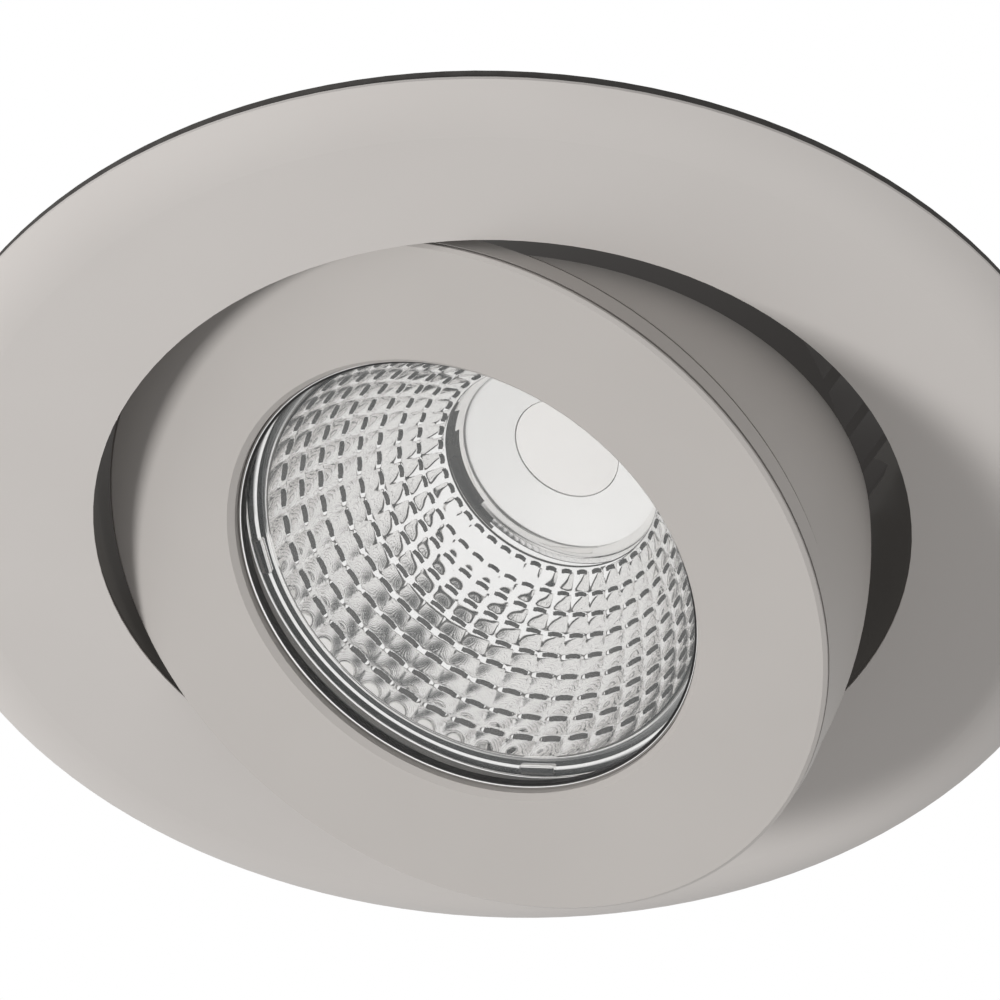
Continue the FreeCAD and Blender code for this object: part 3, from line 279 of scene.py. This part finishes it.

# Section of the throat's lip. Bands of it are painted dark: painted shade in the groove all round, and a
# painted dark reflection on one side, between two angles in degrees.
THROAT_BAND = ((10.78, 20.36), (10.7, 20.5), (10.74, 20.62), (10.9, 20.7), (10.86, 20.82), (10.6, 21.0),
               (10.3, 21.5), (10.1, 22.0), (9.95, 22.4), (9.9, 22.5), (10.8, 22.5), (11.8, 20.3))
THROAT_GROOVE_PAINTED_SHADE = (0, 1)
THROAT_PAINTED_REFLECTION = {4: (97, 177), 5: (100, 170), 6: (110, 156)}

# The tabs on the rim: place and size of the first one in its own direction.
TAB_COUNT = 4
TAB_ANGLE = 47.5
TAB_PLACE = (22.85, 0, 4.16)
TAB_SIZE = (0.9, 3.6, 0.42)
TAB_EDGE = 0.09

# The bead in front of the rim.
BEAD_CENTRE = (22.86, 1.24)
BEAD_RADIUS = 0.15
BEAD_SIDES = 12
BEAD_STEPS = 180


def bowl_arc():
    """Centre, radius and the angles of the bowl's section."""
    run, drop = THROAT[1] - MOUTH[1], MOUTH[0] - THROAT[0]
    chord = math.hypot(run, drop)
    radius = (chord**2 / 4 + BULGE**2) / (2 * BULGE)
    inward = (radius - BULGE) / chord
    centre = ((MOUTH[0] + THROAT[0]) / 2 - inward * run, (MOUTH[1] + THROAT[1]) / 2 - inward * drop)
    first = math.atan2(MOUTH[1] - centre[1], MOUTH[0] - centre[0])
    last = math.atan2(THROAT[1] - centre[1], THROAT[0] - centre[0])
    return centre, radius, first, last


def bowl_point(along, phi, inset):
    """A point of the bowl: along from the mouth (0) to the throat (1), inset towards the axis."""
    centre, radius, first, last = bowl_arc()
    angle = first + (last - first) * along
    reach = radius - inset
    r = centre[0] + reach * math.cos(angle)
    return r * math.cos(phi), r * math.sin(phi), centre[1] + reach * math.sin(angle)


def ledge_end(u):
    """Where a cell's ledge ends along the cell; it bows towards the throat."""
    return LEDGE_END - LEDGE_BOW * (2 * u - 1) ** 2


def hollow(u, v):
    """Depth of a dished cell, 0 at its edges; it ends in a bowed ledge that looks out of the mouth."""
    end = ledge_end(u)
    crest = end - LEDGE
    side = 1 - (2 * u - 1) ** 2
    if v < crest:
        along = math.sin(0.5 * math.pi * v / crest)
    else:
        along = max(0, (end - v) / LEDGE)
    return side * along


def on_painted_ledge(u, v):
    """Whether a point of a cell lies on its ledge, away from the ledge's ends; there the cell gets a
    painted dark reflection.
    """
    return abs(2 * u - 1) < PAINTED_LEDGE_HALF and ledge_end(u) - LEDGE < v < ledge_end(u)


def add_reflector():
    """The bowl as one closed skin, from the rim to the throat and back. A dark metal on some faces paints
    dark reflections on the cells' ledges and on one side of the throat, and shade in the throat's groove.
    """
    around = COLUMNS * ACROSS
    angles = [2 * math.pi * k / around for k in range(around)]
    rows, painted_dark = [], set()

    def ring(r, d):
        return [(r * math.cos(phi), r * math.sin(phi), d) for phi in angles]

    for r, d in RIM:
        rows.append(ring(r, d))
    for low, high in zip(ROWS, ROWS[1:]):
        depth = HOLLOW_AT_MOUTH + (HOLLOW_AT_THROAT - HOLLOW_AT_MOUTH) * (low + high) / 2
        for v, following in zip(ALONG, ALONG[1:] + (1.0,)):
            # The middle of each cell's ledge takes a painted dark reflection.
            painted_dark.update(len(rows) * around + k for k in range(around)
                        if on_painted_ledge((k % ACROSS + 0.5) / ACROSS, (v + following) / 2))
            rows.append([bowl_point(low + (high - low) * v, phi, -depth * hollow((k % ACROSS) / ACROSS, v))
                         for k, phi in enumerate(angles)])
    rows.append([bowl_point(1.0, phi, 0) for phi in angles])
    for step, (r, d) in enumerate(THROAT_BAND):
        # Painted shade in the throat's groove.
        if step in THROAT_GROOVE_PAINTED_SHADE:
            painted_dark.update(len(rows) * around + k for k in range(around))
        # Painted dark reflection on one side of the throat.
        if step in THROAT_PAINTED_REFLECTION:
            start, end = THROAT_PAINTED_REFLECTION[step]
            painted_dark.update(len(rows) * around + k for k, phi in enumerate(angles)
                        if start < math.degrees(phi) < end)
        rows.append(ring(r, d))
    back = [bowl_point(1 - i / BACK_STEPS, 0, -WALL) for i in range(BACK_STEPS + 1)]
    for r, _, d in back:
        if d > FLANGE_BACK:
            rows.append(ring(r, d))
    centre, radius, _, _ = bowl_arc()
    edge = centre[0] + math.sqrt((radius + WALL) ** 2 - (FLANGE_BACK - centre[1]) ** 2)
    rows.append(ring(edge, FLANGE_BACK))
    mesh = grid_mesh("reflector_faceted", rows, closed_profile=True)
    piece = add_object("reflector_faceted", mesh, HEAD, CHROME, "reflector_chrome", "head", "reflector",
                       sharp=30.0)
    # These faces take the dark metal: painted shade and reflection.
    piece.data.materials.append(PAINTED_SHADE_AND_REFLECTION)
    for index in painted_dark:
        piece.data.polygons[index].material_index = 1


def add_tabs():
    """Four plates of the reflector's bayonet on the rim."""
    mesh = bpy.data.meshes.new("reflector_tabs")
    build = bmesh.new()
    for i in range(TAB_COUNT):
        turn = Matrix.Rotation(math.radians(TAB_ANGLE + 360 / TAB_COUNT * i), 4, "Z")
        place = turn @ Matrix.Translation(TAB_PLACE) @ Matrix.Diagonal((*TAB_SIZE, 1))
        block = bmesh.ops.create_cube(build, size=1.0, matrix=place)
        edges = {edge for vertex in block["verts"] for edge in vertex.link_edges}
        bmesh.ops.bevel(build, geom=list(edges), offset=TAB_EDGE, segments=2, affect="EDGES")
    build.to_mesh(mesh)
    build.free()
    add_object("reflector_tabs", mesh, HEAD, CHROME, "reflector_chrome", "head")


def add_bead():
    """Bright bead of the ring that holds the glass."""
    turns = [math.radians(360 * k / BEAD_STEPS) for k in range(BEAD_STEPS)]
    rows = []
    for i in range(BEAD_SIDES):
        angle = 2 * math.pi * i / BEAD_SIDES
        r = BEAD_CENTRE[0] + BEAD_RADIUS * math.cos(angle)
        d = BEAD_CENTRE[1] + BEAD_RADIUS * math.sin(angle)
        rows.append([(r * math.cos(turn), r * math.sin(turn), d) for turn in turns])
    mesh = grid_mesh("glass_ring_bead", rows, closed_profile=True)
    add_object("glass_ring_bead", mesh, HEAD, CHROME, "reflector_chrome", "head", sharp=80.0)


add_reflector()
add_tabs()
add_bead()

# ---------------------------------------------------------------- camera, stage and light

CAMERA_PLACE = (-0.0003493, -0.472323, -0.460991)
CAMERA_ELEVATION = math.radians(44.408)
CAMERA_ROLL = math.radians(3.051)
CAMERA_SENSOR = 36.0
CAMERA_LENS = 258.21
CAMERA_NEAR = 0.05

# A dark part of the studio that only gloss shows: where it lies, the cosines between which
# it fades in, and how bright it stays.
DARK_WAY = (-0.50, 0.25, -0.83)
DARK_REACH = (0.72, 0.96)
DARK_LEVEL = 0.05

AMBIENT = 0.42
FLOOR_HALF = 0.6
FLOOR_HEIGHT = -1.6


def add_camera():
    """Camera from a fit to the trim's and the head's outlines in the photograph."""
    camera = bpy.data.objects.new("camera", bpy.data.cameras.new("camera"))
    bpy.context.collection.objects.link(camera)
    ahead = Vector((0, math.cos(CAMERA_ELEVATION), math.sin(CAMERA_ELEVATION)))
    right = Vector((1, 0, 0))
    up = Vector((0, -math.sin(CAMERA_ELEVATION), math.cos(CAMERA_ELEVATION)))
    across = right * math.cos(CAMERA_ROLL) + up * math.sin(CAMERA_ROLL)
    upright = -right * math.sin(CAMERA_ROLL) + up * math.cos(CAMERA_ROLL)
    rotation = Matrix((across, upright, -ahead)).transposed()
    camera.matrix_world = Matrix.Translation(CAMERA_PLACE) @ rotation.to_4x4()
    camera.data.sensor_width = CAMERA_SENSOR
    camera.data.lens = CAMERA_LENS
    camera.data.clip_start = CAMERA_NEAR
    bpy.context.scene.camera = camera


def seen_directly(tree):
    """1 for rays from the camera, from gloss or through glass, and 0 for the light on the object."""
    path = tree.nodes.new("ShaderNodeLightPath")
    gloss = maths(tree, "MAXIMUM", path.outputs["Is Glossy Ray"], path.outputs["Is Transmission Ray"])
    return maths(tree, "MAXIMUM", path.outputs["Is Camera Ray"], gloss)


def maths(tree, operation, first, second):
    """The output of a maths node; each input is a socket or a number."""
    node = tree.nodes.new("ShaderNodeMath")
    node.operation = operation
    for socket, source in zip(node.inputs, (first, second)):
        if isinstance(source, (int, float)):
            socket.default_value = source
        else:
            tree.links.new(source, socket)
    return node.outputs[0]


def studio_white(tree):
    """Strength of the white studio: 1, and in gloss less towards the dark part."""
    coords = tree.nodes.new("ShaderNodeTexCoord")
    along = tree.nodes.new("ShaderNodeVectorMath")
    along.operation = "DOT_PRODUCT"
    along.inputs[1].default_value = DARK_WAY
    tree.links.new(coords.outputs["Generated"], along.inputs[0])
    shade = map_range(tree, along.outputs["Value"], 0.0, 1.0 - DARK_LEVEL, *DARK_REACH)
    path = tree.nodes.new("ShaderNodeLightPath")
    shown = maths(tree, "MULTIPLY", shade, path.outputs["Is Glossy Ray"])
    return maths(tree, "SUBTRACT", 1.0, shown)


def add_world():
    """A plain level of light on the object, and white where it is seen directly."""
    world = bpy.data.worlds.new("studio")
    bpy.context.scene.world = world
    world.use_nodes = True
    tree = world.node_tree
    light = tree.nodes["Background"]
    light.inputs["Color"].default_value = (1, 1, 1, 1)
    light.inputs["Strength"].default_value = AMBIENT
    white = tree.nodes.new("ShaderNodeBackground")
    white.inputs["Color"].default_value = (1, 1, 1, 1)
    tree.links.new(studio_white(tree), white.inputs["Strength"])
    mix = tree.nodes.new("ShaderNodeMixShader")
    tree.links.new(seen_directly(tree), mix.inputs[0])
    tree.links.new(light.outputs[0], mix.inputs[1])
    tree.links.new(white.outputs[0], mix.inputs[2])
    tree.links.new(mix.outputs[0], tree.nodes["World Output"].inputs["Surface"])


def add_floor():
    """A plain pale floor well below the soffit, white where it is seen directly."""
    mesh = bpy.data.meshes.new("floor")
    corners = ((-1, -1), (1, -1), (1, 1), (-1, 1))
    points = [(FLOOR_HALF * x, FLOOR_HALF * y, FLOOR_HEIGHT) for x, y in corners]
    mesh.from_pydata(points, [], [(0, 1, 2, 3)])
    floor = bpy.data.objects.new("floor", mesh)
    bpy.context.collection.objects.link(floor)
    material, tree, shader = new_material("floor")
    shader.inputs["Base Color"].default_value = (0.85, 0.85, 0.85, 1)
    shader.inputs["Roughness"].default_value = 0.9
    glow = tree.nodes.new("ShaderNodeEmission")
    glow.inputs["Strength"].default_value = 1.0
    mix = tree.nodes.new("ShaderNodeMixShader")
    tree.links.new(seen_directly(tree), mix.inputs[0])
    tree.links.new(shader.outputs[0], mix.inputs[1])
    tree.links.new(glow.outputs[0], mix.inputs[2])
    tree.links.new(mix.outputs[0], tree.nodes["Material Output"].inputs["Surface"])
    mesh.materials.append(material)


def add_lamp(name, place, size, power):
    """A soft square lamp that points at the object; its size is in metres, its power in watts."""
    lamp = bpy.data.lights.new(name, "AREA")
    lamp.size = size
    lamp.energy = power
    holder = bpy.data.objects.new(name, lamp)
    bpy.context.collection.objects.link(holder)
    holder.location = place
    holder.visible_glossy = False
    holder.rotation_euler = (-Vector(place)).to_track_quat("-Z", "Y").to_euler()


add_camera()
add_world()
add_floor()
add_lamp("key", place=(-0.74, -0.28, -0.763), size=0.22, power=10.0)
add_lamp("fill", place=(0.85, -0.45, -0.27), size=0.5, power=1.0)

bpy.context.scene.view_settings.view_transform = "Standard"
